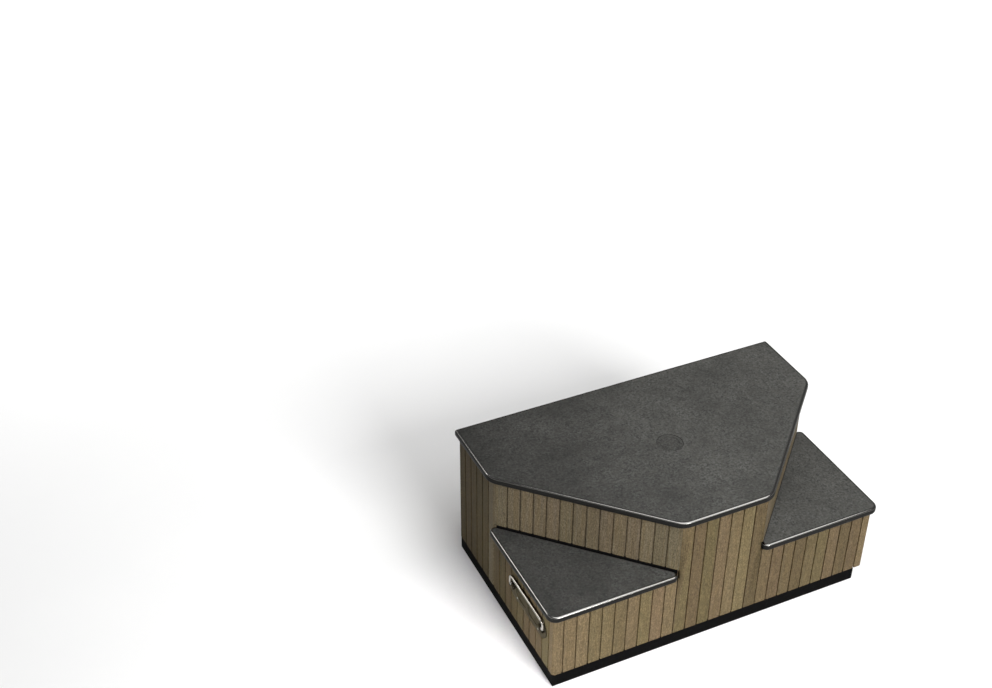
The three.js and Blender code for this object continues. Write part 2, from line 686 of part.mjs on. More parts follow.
// Torsion spring around the rear pivot, between the leg and its bracket.
function addHandleSpring() {
  class Coil extends THREE.Curve {
    getPoint(t, target = new THREE.Vector3()) {
      const turn = t * SPRING_TURNS * 2 * Math.PI;
      return target.set(
        SPRING_COIL_RADIUS * Math.cos(turn),
        t * SPRING_TURNS * SPRING_PITCH,
        SPRING_COIL_RADIUS * Math.sin(turn),
      );
    }
  }
  const wire = new THREE.Shape();
  wire.absarc(0, 0, SPRING_WIRE_RADIUS, 0, 2 * Math.PI);
  const coil = new THREE.ExtrudeGeometry(wire, {
    steps: SPRING_TURNS * SPRING_STEPS_PER_TURN,
    extrudePath: new Coil(),
    bevelEnabled: false,
    curveSegments: WIRE_FACETS / 2,
  });
  const startY = HANDLE_CENTRE_Y + BAIL_SPAN / 2 - BAIL_ROD_RADIUS - 2 * SPRING_WIRE_RADIUS;
  coil.translate(0, -SPRING_TURNS * SPRING_PITCH, 0);
  const tail = new THREE.CylinderGeometry(SPRING_WIRE_RADIUS, SPRING_WIRE_RADIUS, SPRING_TAIL, TAIL_FACETS);
  tail.rotateX(Math.PI / 2).translate(SPRING_COIL_RADIUS, 0, SPRING_TAIL / 2);
  const fixedTail = tail.clone().translate(0, -SPRING_TURNS * SPRING_PITCH, 0);
  const spring = union(coil, tail, fixedTail);
  addMesh("handle_spring", spring.translate(PIVOT_X, startY, HANDLE_PIVOT_Z), "steel");
}

addTopTread();
addFrontPanels();
for (const [label, side] of SIDES) {
  addLowerTread(label, side);
  const panel = addSidePanels(label, side);
  if (side === LEFT) {
    const pilots = SCREW_PLACES.map((place) => screwGeometry(place, GAP));
    panel.geometry = subtract(panel.geometry, ...pilots);
  }
  addFrontCorner(label, side);
  addShoulderCorner(label, side);
  addPosts(label, side);
  addBearers(label, side);
}
addBase();
addTopFrame();
addHandlePlate();
addHandleBail();
for (const [label, sign] of HANDLE_ENDS) {
  addHandleBracket(label, sign);
}
addHandleSpring();
SCREW_PLACES.forEach((place, index) => {
  addMesh(`handle_screw_${index + 1}`, screwGeometry(place), "steel");
});

export default steps;
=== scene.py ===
"""Looks of the two-level spa steps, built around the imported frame. Metres, +Z up, -Y front."""

import json
import math
import random

import bmesh
import bpy
from mathutils import Matrix, Vector
from mathutils.geometry import tessellate_polygon


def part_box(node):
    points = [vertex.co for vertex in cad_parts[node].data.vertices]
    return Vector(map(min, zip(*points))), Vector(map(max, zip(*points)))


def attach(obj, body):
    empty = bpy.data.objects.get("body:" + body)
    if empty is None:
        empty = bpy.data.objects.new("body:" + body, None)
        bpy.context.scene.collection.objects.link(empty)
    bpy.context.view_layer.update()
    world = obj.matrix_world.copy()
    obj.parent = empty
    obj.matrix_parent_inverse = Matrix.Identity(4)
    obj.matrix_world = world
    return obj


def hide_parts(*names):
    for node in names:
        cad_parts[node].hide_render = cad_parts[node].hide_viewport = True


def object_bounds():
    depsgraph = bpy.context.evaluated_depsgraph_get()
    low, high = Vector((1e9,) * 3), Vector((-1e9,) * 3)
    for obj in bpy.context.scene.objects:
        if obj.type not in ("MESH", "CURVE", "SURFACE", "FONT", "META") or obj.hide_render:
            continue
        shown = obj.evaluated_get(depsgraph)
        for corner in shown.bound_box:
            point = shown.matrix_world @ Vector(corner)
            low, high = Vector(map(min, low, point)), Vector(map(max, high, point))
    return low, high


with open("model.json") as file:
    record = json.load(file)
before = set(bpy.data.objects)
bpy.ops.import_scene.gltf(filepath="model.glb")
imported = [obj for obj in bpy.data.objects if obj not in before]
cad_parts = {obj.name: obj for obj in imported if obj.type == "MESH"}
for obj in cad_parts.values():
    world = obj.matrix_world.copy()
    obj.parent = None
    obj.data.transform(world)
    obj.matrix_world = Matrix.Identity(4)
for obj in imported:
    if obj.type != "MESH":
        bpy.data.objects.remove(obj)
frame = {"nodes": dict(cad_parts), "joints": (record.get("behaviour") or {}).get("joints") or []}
CAD_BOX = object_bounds()

MM = 0.001
LEFT = -1
RIGHT = 1
SIDES = (("left", LEFT), ("right", RIGHT))


def low(node):
    """Lowest corner of a CAD node."""
    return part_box(node)[0]


def high(node):
    """Highest corner of a CAD node."""
    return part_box(node)[1]


# ---- Sizes, from the frame and a few dimensions of the boards ----
GAP = 0.3 * MM
HALF_WIDTH = high("right_side_panel").x
FRONT_Y = low("front_centre_panel").y
BACK_Y = high("rear_top_rail").y
NOSE_X = high("front_centre_panel").x + GAP / 2
SHOULDER_Y = FRONT_Y + HALF_WIDTH - NOSE_X
CLAD_BOTTOM = low("front_centre_panel").z
UPPER_CLAD_TOP = high("front_centre_panel").z
LOWER_CLAD_TOP = high("left_side_panel").z
RISER_BOTTOM = low("left_riser_panel").z
THICKNESS = high("front_left_panel").y - FRONT_Y
LOW_WALL = (CLAD_BOTTOM, LOWER_CLAD_TOP)
TALL_WALL = (CLAD_BOTTOM, UPPER_CLAD_TOP)
RISER_WALL = (RISER_BOTTOM, UPPER_CLAD_TOP)

# Slats. A slat's mark is its tone, from 0 for dark to 1 for light, with painted shade in it, plus
# its batch.
SLAT_PITCH = 41 * MM
SLATS_FRONT_CENTRE = 7
SLATS_FRONT_SIDE = 9
SLATS_REAR_SIDE = 5
SLATS_RISER = 13
GROOVE_WIDTH = 3.8 * MM
GROOVE_DEPTH = 4 * MM
TONGUE_GAP = 0.1 * MM
SLAT_EASE = 1.4 * MM
BROWN_BATCH = 0.0
GREY_BATCH = 1.0
TONE_RANGE = (0.35, 0.95)
SHOULDER_TONE = 0.35
# The front corner mouldings get a light tone, a painted highlight along the corner.
FRONT_CORNER_HIGHLIGHT_TONE = 0.8
END_EASE = 0.6 * MM
CORNER_LEG = HALF_WIDTH - NOSE_X - SLATS_FRONT_SIDE * SLAT_PITCH
FRONT_CORNER_RADIUS = 10 * MM
SHOULDER_CORNER_RADIUS = 30 * MM
NOTCH_LENGTH = 5 * MM
MITRE = THICKNESS * math.tan(math.pi / 8)

# Treads. A tread's mark is 0 where it has pebble grain, and rises to satin and then to polished.
TREAD_EDGE = 7 * MM
TREAD_REAR_RADIUS = 8 * MM
TOP_TREAD_CORNER_RADIUS = 60 * MM
LOWER_TREAD_CORNER_RADIUS = 30 * MM
TREAD_TIP_RADIUS = 18 * MM
TREAD_TUCK = 8 * MM
GRAIN_FADE = 2.5 * MM
EDGE_STEPS = 12
SATIN_MARK = 0.5
POLISHED_MARK = 1.0
POLISH_START = math.radians(31)
POLISH_BLEND = math.radians(12)
RECESS_RADIUS = 40 * MM
RECESS_DEPTH = 1.2 * MM
RECESS_SPOKES = 96
RIM_REACH = 1.2 * MM
RIM_BEND = 0.5 * MM
RIM_DIP = 0.12
RING_RADIUS = RECESS_RADIUS * 0.74
RING_HALF_WIDTH = 1.4 * MM

ARC_STEP = math.radians(6)
SHARP_ANGLE = math.radians(35)


# ---- Outlines and meshes ----
def rounded(corners):
    """Anticlockwise outline from corners (x, y, radius), with an arc where there is a radius."""
    area = sum(a[0] * b[1] - b[0] * a[1] for a, b in zip(corners, corners[1:] + corners[:1]))
    if area < 0:
        corners = corners[::-1]
    outline = []
    for index, (x, y, radius) in enumerate(corners):
        here = Vector((x, y))
        if radius == 0:
            outline.append(here)
            continue
        before = (here - Vector(corners[index - 1][:2])).normalized()
        after = (Vector(corners[(index + 1) % len(corners)][:2]) - here).normalized()
        turn = math.atan2(before.x * after.y - before.y * after.x, before.dot(after))
        start = here - before * (radius * math.tan(abs(turn) / 2))
        side = math.copysign(1, turn)
        centre = start + Vector((-before.y, before.x)) * (radius * side)
        steps = max(2, math.ceil(abs(turn) / ARC_STEP))
        for step in range(steps + 1):
            spoke = Matrix.Rotation(turn * step / steps, 2) @ (start - centre)
            outline.append(centre + spoke)
    return outline


def inset(outline, depth):
    """The outline moved inwards by depth."""
    moved = []
    for index, here in enumerate(outline):
        before = (here - outline[index - 1]).normalized()
        after = (outline[(index + 1) % len(outline)] - here).normalized()
        inward = Vector((-before.y - after.y, before.x + after.x)).normalized()
        moved.append(here + inward * (depth / inward.dot(Vector((-after.y, after.x)))))
    return moved


def on_side(side, corners):
    """Corners drawn for the left half, mirrored for the right half."""
    return [(-side * x, y, radius) for x, y, radius in corners]


class Shape:
    """Closed solids gathered into one mesh. Each point has a mark, a number that materials read."""

    def __init__(self):
        self.points = []
        self.marks = []
        self.faces = []

    def ring(self, points, mark=0.0):
        """Adds a ring of points and gives their numbers."""
        first = len(self.points)
        self.points += [Vector(point) for point in points]
        self.marks += [mark] * len(points)
        return list(range(first, len(self.points)))

    def bridge(self, one, other):
        """Faces between two rings of the same length."""
        count = len(one)
        for index in range(count):
            after = (index + 1) % count
            self.faces.append((one[index], one[after], other[after], other[index]))

    def loft(self, rings, mark=0.0):
        """A solid through rings of points, closed by a flat face at each end."""
        made = [self.ring(points, mark) for points in rings]
        for one, other in zip(made, made[1:]):
            self.bridge(one, other)
        self.faces.append(tuple(reversed(made[0])))
        self.faces.append(tuple(made[-1]))

    def prism(self, outline, bottom, top, ease=END_EASE, mark=0.0):
        """An upright prism whose ends are slightly chamfered, or square where ease is 0."""
        levels = [(ease, bottom), (0, bottom + ease), (0, top - ease), (ease, top)]
        if ease == 0:
            levels = [(0, bottom), (0, top)]
        rings = [
            [(*point, z) for point in (inset(outline, depth) if depth else outline)]
            for depth, z in levels
        ]
        self.loft(rings, mark)

    def holed_face(self, outer, hole):
        """A flat face between an outer ring and a ring inside it."""
        loops = [[self.points[i] for i in outer], [self.points[i] for i in hole]]
        order = outer + hole
        for triangle in tessellate_polygon(loops):
            self.faces.append(tuple(order[i] for i in triangle))

    def moved(self, matrix):
        """Moves the shape and gives it back."""
        self.points = [matrix @ point for point in self.points]
        return self

    def mesh(self, name):
        """A Blender mesh whose faces all look outwards."""
        data = bpy.data.meshes.new(name)
        data.from_pydata(self.points, [], self.faces)
        marks = data.attributes.new("mark", "FLOAT", "POINT")
        marks.data.foreach_set("value", self.marks)
        work = bmesh.new()
        work.from_mesh(data)
        bmesh.ops.recalc_face_normals(work, faces=work.faces)
        work.to_mesh(data)
        work.free()
        return data


def cut_and_join(data, cutters=(), additions=()):
    """The mesh with some shapes cut away and others joined on."""
    target = bpy.data.objects.new("work", data)
    bpy.context.scene.collection.objects.link(target)
    helpers = []
    jobs = [("UNION", shape) for shape in additions] + [("DIFFERENCE", shape) for shape in cutters]
    for operation, shape in jobs:
        helper = bpy.data.objects.new("helper", shape.mesh("helper"))
        bpy.context.scene.collection.objects.link(helper)
        helpers.append(helper)
        modifier = target.modifiers.new(operation, "BOOLEAN")
        modifier.operation = operation
        modifier.solver = "EXACT"
        modifier.object = helper
    graph = bpy.context.evaluated_depsgraph_get()
    result = bpy.data.meshes.new_from_object(target.evaluated_get(graph), depsgraph=graph)
    for extra in helpers + [target]:
        bpy.data.objects.remove(extra)
    return result


def even_shading(piece):
    """Smooth shading that keeps flat faces flat and real edges sharp."""
    piece.data.shade_smooth()
    piece.data.set_sharp_from_angle(angle=SHARP_ANGLE)
    weighted = piece.modifiers.new("even_shading", "WEIGHTED_NORMAL")
    weighted.keep_sharp = True


def add_piece(name, data, material, replaces=(), body="steps"):
    """Puts a finished mesh into the scene, on its body and in place of its CAD nodes."""
    piece = bpy.data.objects.new(name, data)
    bpy.context.scene.collection.objects.link(piece)
    data.materials.clear()
    data.materials.append(material)
    even_shading(piece)
    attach(piece, body)
    if replaces:
        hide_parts(*replaces)
    return piece


# ---- Materials ----
class Finish:
    """A material and short ways to add nodes to it."""

    def __init__(self, name):
        self.material = bpy.data.materials.new(name)
        self.material.use_nodes = True
        self.tree = self.material.node_tree
        self.surface = self.tree.nodes["Principled BSDF"]

    def node(self, kind, inputs=None, **settings):
        """A node. Inputs are values or links by socket, and settings are the node's own."""
        made = self.tree.nodes.new(kind)
        for key, value in settings.items():
            setattr(made, key, value)
        for key, value in (inputs or {}).items():
            self.put(made.inputs[key], value)
        return made

    def put(self, socket, value):
        if isinstance(value, bpy.types.NodeSocket):
            self.tree.links.new(value, socket)
        else:
            socket.default_value = value

    def set(self, **values):
        """Sets or links inputs of the surface, with _ for each space in a name."""
        for key, value in values.items():
            self.put(self.surface.inputs[key.replace("_", " ")], value)

    def place(self):
        return self.node("ShaderNodeTexCoord").outputs["Object"]

    def stretched(self, vector, scale):
        inputs = {0: vector, 1: scale}
        return self.node("ShaderNodeVectorMath", inputs, operation="MULTIPLY").outputs[0]

    def noise(self, vector, scale, detail=3.0, roughness=0.5):
        inputs = {"Vector": vector, "Scale": scale, "Detail": detail, "Roughness": roughness}
        return self.node("ShaderNodeTexNoise", inputs).outputs["Fac"]

    def cells(self, vector, scale, feature="F1"):
        """Distance to the nearest of many scattered points."""
        inputs = {"Vector": vector, "Scale": scale}
        return self.node("ShaderNodeTexVoronoi", inputs, feature=feature).outputs["Distance"]

    def span(self, value, from_low, from_high, to_low=0.0, to_high=1.0):
        """Value taken from one range to another, held at the ends."""
        inputs = {0: value, 1: from_low, 2: from_high, 3: to_low, 4: to_high}
        return self.node("ShaderNodeMapRange", inputs).outputs[0]

    def math(self, operation, one, other=0.0):
        return self.node("ShaderNodeMath", {0: one, 1: other}, operation=operation).outputs[0]

    def mix(self, share, one, other, blend="MIX"):
        inputs = {0: share, 6: one, 7: other}
        mixed = self.node("ShaderNodeMix", inputs, data_type="RGBA", blend_type=blend)
        return mixed.outputs[2]

    def mark(self):
        return self.node("ShaderNodeAttribute", attribute_name="mark").outputs["Fac"]

    def bump(self, height, distance, strength):
        inputs = {"Height": height, "Distance": distance, "Strength": strength}
        return self.node("ShaderNodeBump", inputs).outputs[0]


def colour(red, green, blue):
    """A colour in linear light, with its alpha."""
    return (red, green, blue, 1.0)


WHITE = colour(1.0, 1.0, 1.0)


def tread_finish():
    """Charcoal moulded plastic. Flats have a pebble grain, and painted shade makes them a little
    darker towards the left. Mark leads from the grain to a smooth satin edge, and on to the
    polished nosing along its top."""
    grain_dark = colour(0.032, 0.032, 0.030)
    grain_light = colour(0.098, 0.098, 0.092)
    patch_tint = colour(0.070, 0.068, 0.062)
    cloud_tint = colour(0.030, 0.030, 0.028)
    painted_shade_tint = colour(0.30, 0.30, 0.31)
    satin = colour(0.009, 0.0088, 0.0082)
    polished = colour(0.200, 0.196, 0.186)
    satin_roughness = 0.36
    grain_roughness = 0.20
    polish_smoothness = 0.26
    finish = Finish("tread_plastic")
    place = finish.place()
    smooth = finish.span(finish.mark(), 0.0, SATIN_MARK)
    polish = finish.span(finish.mark(), SATIN_MARK, POLISHED_MARK)
    flat_share = finish.math("SUBTRACT", 1.0, smooth)
    pebbles = finish.cells(place, 420.0, "SMOOTH_F1")
    fine = finish.noise(place, 900.0, detail=2.0)
    blotches = finish.noise(place, 160.0, detail=4.0, roughness=0.65)
    patches = finish.noise(place, 60.0, roughness=0.6)
    clouds = finish.noise(place, 7.0, detail=4.0, roughness=0.6)
    # Painted shade: the flats darken towards the left, standing in for light that falls off to that
    # side.
    across = finish.node("ShaderNodeSeparateXYZ", {0: place}).outputs["X"]
    painted_shade_share = finish.span(across, -0.55, 0.05, 0.60, 0.0)
    grain = finish.mix(finish.span(blotches, 0.36, 0.68), grain_dark, grain_light)
    patched = finish.mix(finish.span(patches, 0.38, 0.62, 0.0, 0.5), grain, patch_tint)
    clouded = finish.mix(finish.span(clouds, 0.32, 0.66, 0.55, 0.0), patched, cloud_tint)
    shaded = finish.mix(painted_shade_share, clouded, painted_shade_tint, "MULTIPLY")
    dull = finish.math("ADD", finish.math("MULTIPLY", flat_share, grain_roughness), satin_roughness)
    height = finish.math("ADD", pebbles, finish.math("MULTIPLY", fine, 0.35))
    finish.set(
        Base_Color=finish.mix(smooth, shaded, finish.mix(polish, satin, polished)),
        Metallic=polish,
        Specular_IOR_Level=0.03,
        Roughness=finish.math("SUBTRACT", dull, finish.math("MULTIPLY", polish, polish_smoothness)),
        Normal=finish.bump(height, 0.35 * MM, finish.math("MULTIPLY", flat_share, 0.4)),
    )
    return finish.material


def slat_finish():
    """Wood-look polymer with fine upright grain. The whole part of a slat's mark picks its batch,
    brown or grey, and the rest picks its tone, which carries painted shade and painted highlight,
    and its hue."""
    dark_olive = colour(0.030, 0.026, 0.012)
    dark_brown = colour(0.038, 0.027, 0.016)
    light_olive = colour(0.124, 0.102, 0.051)
    light_brown = colour(0.148, 0.102, 0.065)
    grey = colour(0.090, 0.082, 0.066)
    warm_tint = colour(0.098, 0.068, 0.031)
    line_tint = colour(0.030, 0.023, 0.010)
    pore_tint = colour(0.018, 0.014, 0.008)
    speck_light = colour(2.0, 2.0, 2.0)
    speck_dark = colour(0.35, 0.35, 0.35)
    finish = Finish("slat_polymer")
    place = finish.place()
    tone = finish.math("FRACT", finish.mark())
    greyness = finish.span(finish.mark(), GREY_BATCH, GREY_BATCH + 0.001, 0.0, 0.55)
    scatter = finish.node("ShaderNodeTexWhiteNoise", {"W": tone}, noise_dimensions="1D")
    hue = scatter.outputs["Value"]
    streaks = finish.noise(finish.stretched(place, (900.0, 900.0, 16.0)), 1.0, roughness=0.6)
    broad = finish.noise(finish.stretched(place, (160.0, 160.0, 3.5)), 1.0, roughness=0.55)
    flattened = finish.stretched(place, (340.0, 340.0, 170.0))
    specks = finish.noise(flattened, 1.0, detail=4.0, roughness=0.7)
    ticks = finish.noise(finish.stretched(place, (1500.0, 1500.0, 60.0)), 1.0, detail=1.0)
    dark = finish.mix(hue, dark_olive, dark_brown)
    light = finish.mix(hue, light_olive, light_brown)
    base = finish.mix(greyness, finish.mix(tone, dark, light), grey)
    warm = finish.mix(finish.span(broad, 0.3, 0.7, 0.0, 0.5), base, warm_tint)
    lined = finish.mix(finish.span(streaks, 0.30, 0.62, 0.60, 0.0), warm, line_tint)
    dusty = finish.mix(finish.span(specks, 0.50, 0.66, 0.0, 0.65), lined, speck_light, "MULTIPLY")
    mottled = finish.mix(finish.span(specks, 0.34, 0.48, 0.45, 0.0), dusty, speck_dark, "MULTIPLY")
    pores = finish.mix(finish.span(ticks, 0.26, 0.40, 0.8, 0.0), mottled, pore_tint)
    ridges = finish.math("MULTIPLY", streaks, 0.8)
    height = finish.math("ADD", ridges, finish.math("MULTIPLY", specks, 0.4))
    finish.set(
        Base_Color=pores,
        Specular_IOR_Level=0.05,
        Roughness=finish.span(streaks, 0.3, 0.7, 0.52, 0.70),
        Normal=finish.bump(height, 0.25 * MM, 0.55),
    )
    return finish.material


def plinth_finish():
    """Black moulded plastic, satin, a little dusty near the floor."""
    black = colour(0.003, 0.003, 0.003)
    dust_tint = colour(0.010, 0.009, 0.008)
    dust_height = 20 * MM
    finish = Finish("plinth_plastic")
    place = finish.place()
    grain = finish.noise(place, 700.0)
    flattened = finish.stretched(place, (30.0, 30.0, 120.0))
    scuffs = finish.noise(flattened, 1.0, detail=5.0, roughness=0.65)
    height = finish.node("ShaderNodeSeparateXYZ", {0: place}).outputs["Z"]
    near_floor = finish.span(height, 0.0, dust_height, 0.5, 0.0)
    dust = finish.math("MULTIPLY", near_floor, finish.span(scuffs, 0.4, 0.7))
    finish.set(
        Base_Color=finish.mix(dust, black, dust_tint),
        Specular_IOR_Level=0.008,
        Roughness=finish.span(scuffs, 0.3, 0.7, 0.56, 0.72),
        Normal=finish.bump(grain, 0.12 * MM, 0.4),
    )
    return finish.material


def timber_finish(name, direction):
    """Sawn softwood whose grain runs along direction: growth rings, fine fibres and saw marks."""
    pale_yellow = colour(0.60, 0.43, 0.25)
    pale_brown = colour(0.50, 0.33, 0.17)
    ring_tint = colour(0.34, 0.19, 0.085)
    fibre_tint = colour(0.26, 0.15, 0.07)
    heart = (0.21, 0.13, 0.0)
    finish = Finish(name)
    turn = Vector(direction).rotation_difference(Vector((0, 0, 1))).to_euler()
    turned = {"Vector": finish.place(), "Rotation": turn}
    place = finish.node("ShaderNodeMapping", turned).outputs[0]
    long = finish.stretched(place, (1.0, 1.0, 0.06))
    off_centre = finish.node("ShaderNodeVectorMath", {0: long, 1: heart}, operation="ADD")
    ring_inputs = {
        "Vector": off_centre.outputs[0],
        "Scale": 34.0,
        "Distortion": 3.5,
        "Detail": 2.0,
        "Detail Scale": 1.4,
    }
    ring_settings = {"wave_type": "RINGS", "rings_direction": "Z", "wave_profile": "SAW"}
    rings = finish.node("ShaderNodeTexWave", ring_inputs, **ring_settings).outputs["Fac"]
    waver = finish.noise(long, 9.0)
    drawn_out = finish.stretched(place, (700.0, 700.0, 14.0))
    fibres = finish.noise(drawn_out, 1.0, detail=2.0, roughness=0.6)
    saw = finish.noise(finish.stretched(place, (20.0, 20.0, 900.0)), 1.0, detail=1.0)
    pale = finish.mix(finish.span(waver, 0.3, 0.7), pale_yellow, pale_brown)
    ringed = finish.mix(finish.span(rings, 0.55, 1.0, 0.0, 0.75), pale, ring_tint)
    wood = finish.mix(finish.span(fibres, 0.32, 0.62, 0.35, 0.0), ringed, fibre_tint)
    height = finish.math("ADD", fibres, finish.math("MULTIPLY", saw, 0.6))
    finish.set(
        Base_Color=wood,
        Roughness=finish.span(fibres, 0.3, 0.7, 0.62, 0.80),
        Normal=finish.bump(height, 0.3 * MM, 0.6),
    )
    return finish.material


def gap_shadow_strip_finish():
    """A black strip with open fine pores, painted shadow in the gap under each riser."""
    pore_tint = colour(0.001, 0.001, 0.001)
    skin_tint = colour(0.004, 0.004, 0.004)
    finish = Finish("gap_shadow_strip")
    pores = finish.cells(finish.place(), 900.0)
    finish.set(
        Base_Color=finish.mix(finish.span(pores, 0.1, 0.6), pore_tint, skin_tint),
        Specular_IOR_Level=0.02,
        Roughness=finish.span(pores, 0.1, 0.6, 0.75, 0.9),
        Normal=finish.bump(pores, 0.2 * MM, 0.5),
    )
    return finish.material


def metal_finish(name, tint, dark_tint, roughness, streaks, streak_depth, edge_tint=WHITE):
    """Metal with fine drawn streaks and faint smears. Edge_tint dims it at low angles."""
    finish = Finish(name)
    place = finish.place()
    lines = finish.noise(finish.stretched(place, streaks), 1.0, roughness=0.6)
    smears = finish.noise(place, 60.0, detail=4.0, roughness=0.6)
    drawn = finish.span(lines, 0.3, 0.7, roughness * 0.75, roughness * 1.15)
    smeared = finish.span(smears, 0.5, 0.8, 0.0, roughness * 0.4)
    finish.set(
        Metallic=1.0,
        Base_Color=finish.mix(finish.span(smears, 0.35, 0.7), tint, dark_tint),
        Specular_Tint=edge_tint,
        Roughness=finish.math("ADD", drawn, smeared),
        Normal=finish.bump(lines, streak_depth, 0.4),
    )
    return finish.material


TREAD = tread_finish()
SLATS = slat_finish()
PLINTH = plinth_finish()
GAP_SHADOW_STRIP = gap_shadow_strip_finish()
TIMBER = {
    name: timber_finish("timber_" + name, direction)
    for name, direction in (
        ("upright", (0, 0, 1)),
        ("across", (1, 0, 0)),
        ("deep", (0, 1, 0)),
        ("left_slant", (1, -1, 0)),
        ("right_slant", (1, 1, 0)),
    )
}
CHROME = metal_finish(
    "polished_chrome",
    tint=colour(0.42, 0.40, 0.365),
    dark_tint=colour(0.33, 0.31, 0.28),
    roughness=0.08,
    streaks=(400.0, 40.0, 400.0),
    streak_depth=0.003 * MM,
)
PLATE = metal_finish(
    "satin_plate",
    tint=colour(0.050, 0.043, 0.029),
    dark_tint=colour(0.032, 0.028, 0.019),
    roughness=0.42,
    streaks=(1800.0, 30.0, 1800.0),
    streak_depth=0.08 * MM,
    edge_tint=colour(0.78, 0.74, 0.64),
)
STEEL = metal_finish(
    "zinc_steel",
    tint=colour(0.60, 0.60, 0.58),
    dark_tint=colour(0.44, 0.43, 0.40),
    roughness=0.26,
    streaks=(300.0, 300.0, 300.0),
    streak_depth=0.04 * MM,
)


# ---- Treads ----
def tread_levels(bottom, top):
    """The edge of a tread as (inset, height, mark) from the underside to the top."""
    levels = []
    for step in range(EDGE_STEPS + 1):
        angle = math.pi / 2 * step / EDGE_STEPS
        rise = TREAD_EDGE * (1 - math.cos(angle))
        levels.append((TREAD_EDGE * (1 - math.sin(angle)), bottom + rise, SATIN_MARK))
    for step in range(EDGE_STEPS + 1):
        angle = math.pi / 2 * step / EDGE_STEPS
        drop = TREAD_EDGE * (1 - math.sin(angle))
        shine = min(1.0, max(0.0, (angle - POLISH_START) / POLISH_BLEND))
        mark = SATIN_MARK + (POLISHED_MARK - SATIN_MARK) * shine
        levels.append((TREAD_EDGE * (1 - math.cos(angle)), top - drop, mark))
    levels.append((TREAD_EDGE + GRAIN_FADE, top, 0.0))
    return levels


def tread_shape(corners, bottom, top, recess=None):
    """A board with bullnose edges. The recess is a list of (radius, height, mark) at the origin."""
    shape = Shape()
    outline = rounded(corners)
    rings = []
    for depth, z, mark in tread_levels(bottom, top):
        points = [(*point, z) for point in inset(outline, depth)]
        rings.append(shape.ring(points, mark))
    for one, other in zip(rings, rings[1:]):
        shape.bridge(one, other)
    shape.faces.append(tuple(reversed(rings[0])))
    if recess is None:
        shape.faces.append(tuple(rings[-1]))
        return shape
    angles = [2 * math.pi * step / RECESS_SPOKES for step in range(RECESS_SPOKES)]
    circles = []
    for radius, z, mark in recess:
        points = [(radius * math.cos(a), radius * math.sin(a), z) for a in angles]
        circles.append(shape.ring(points, mark))
    shape.holed_face(rings[-1], circles[0])
    for one, other in zip(circles, circles[1:]):
        shape.bridge(one, other)
    shape.faces.append(tuple(circles[-1]))
    return shape


def recess_profile(top):
    """A shallow round recess with a soft rim and one plain raised ring inside it, as (radius,
    height, mark). The marks make the rim and the ring smoother than the grain around them."""
    floor = top - RECESS_DEPTH
    crest = floor + RECESS_DEPTH / 2
    bend_mark = 0.4
    wall_mark = 0.6
    floor_mark = 0.12
    crest_mark = 0.25
    return [
        (RECESS_RADIUS + RIM_REACH, top, 0.0),
        (RECESS_RADIUS + RIM_BEND, top - RECESS_DEPTH * RIM_DIP, bend_mark),
        (RECESS_RADIUS, top - RECESS_DEPTH / 2, wall_mark),
        (RECESS_RADIUS - RIM_BEND, floor + RECESS_DEPTH * RIM_DIP, bend_mark),
        (RECESS_RADIUS - RIM_REACH, floor, floor_mark),
        (RING_RADIUS + RING_HALF_WIDTH, floor, floor_mark),
        (RING_RADIUS + RING_HALF_WIDTH / 2, crest, crest_mark),
        (RING_RADIUS - RING_HALF_WIDTH / 2, crest, crest_mark),
        (RING_RADIUS - RING_HALF_WIDTH, floor, floor_mark),
    ]


def add_top_tread():
    """The full-height tread. Its slanted edges overhang the risers as much as its front does."""
    corner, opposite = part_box("top_tread")
    edge_x = corner.x
    edge_y = corner.y
    overhang = FRONT_Y - edge_y
    slant = SHOULDER_Y - HALF_WIDTH - overhang * math.sqrt(2)
    half = [
        (edge_x, opposite.y, TREAD_REAR_RADIUS),
        (edge_x, slant - edge_x, TOP_TREAD_CORNER_RADIUS),
        (slant - edge_y, edge_y, TOP_TREAD_CORNER_RADIUS),
    ]
    corners = half + on_side(RIGHT, half)[::-1]
    shape = tread_shape(corners, corner.z, opposite.z, recess_profile(opposite.z))
    add_piece("top_tread_board", shape.mesh("top_tread_board"), TREAD, ["top_tread"])


def add_lower_tread(label, side):
    """The triangular tread in a front corner. Its long edge is tucked in under the riser."""
    node = label + "_lower_tread"
    corner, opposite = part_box("left_lower_tread")
    edge_x = corner.x
    edge_y = corner.y
    slant = SHOULDER_Y - HALF_WIDTH + TREAD_TUCK * math.sqrt(2)
    corners = [
        (edge_x, slant - edge_x, TREAD_TIP_RADIUS),
        (edge_x, edge_y, LOWER_TREAD_CORNER_RADIUS),
        (slant - edge_y, edge_y, TREAD_TIP_RADIUS),
    ]
    shape = tread_shape(on_side(side, corners), corner.z, opposite.z)
    add_piece(node + "_board", shape.mesh(node + "_board"), TREAD, [node])


# ---- Cladding ----
def start_edge(kind, at):
    """One side of a slat's section, from back to face, as (along, depth, radius)."""
    if kind == "groove":
        return [
            (at + TONGUE_GAP, THICKNESS, 0),
            (at + TONGUE_GAP, GROOVE_DEPTH, 0),
            (at + GROOVE_WIDTH / 2, GROOVE_DEPTH, 0),
            (at + GROOVE_WIDTH / 2, 0, SLAT_EASE),
        ]
    setback = MITRE if kind == "mitre" else 0
    return [(at + GAP / 2 + setback, THICKNESS, 0), (at + GAP / 2, 0, SLAT_EASE / 2)]


def end_edge(kind, at):
    """The other side of a slat's section, from face to back."""
    other_side = reversed(start_edge(kind, at))
    return [(2 * at - along, depth, radius) for along, depth, radius in other_side]


def along_wall(start, direction, section):
    """A section given as (along, depth, radius), laid out in plan from start."""
    inward = Vector((-direction.y, direction.x))
    laid = []
    for along, depth, radius in section:
        point = start + direction * along + inward * depth
        laid.append((point.x, point.y, radius))
    return laid


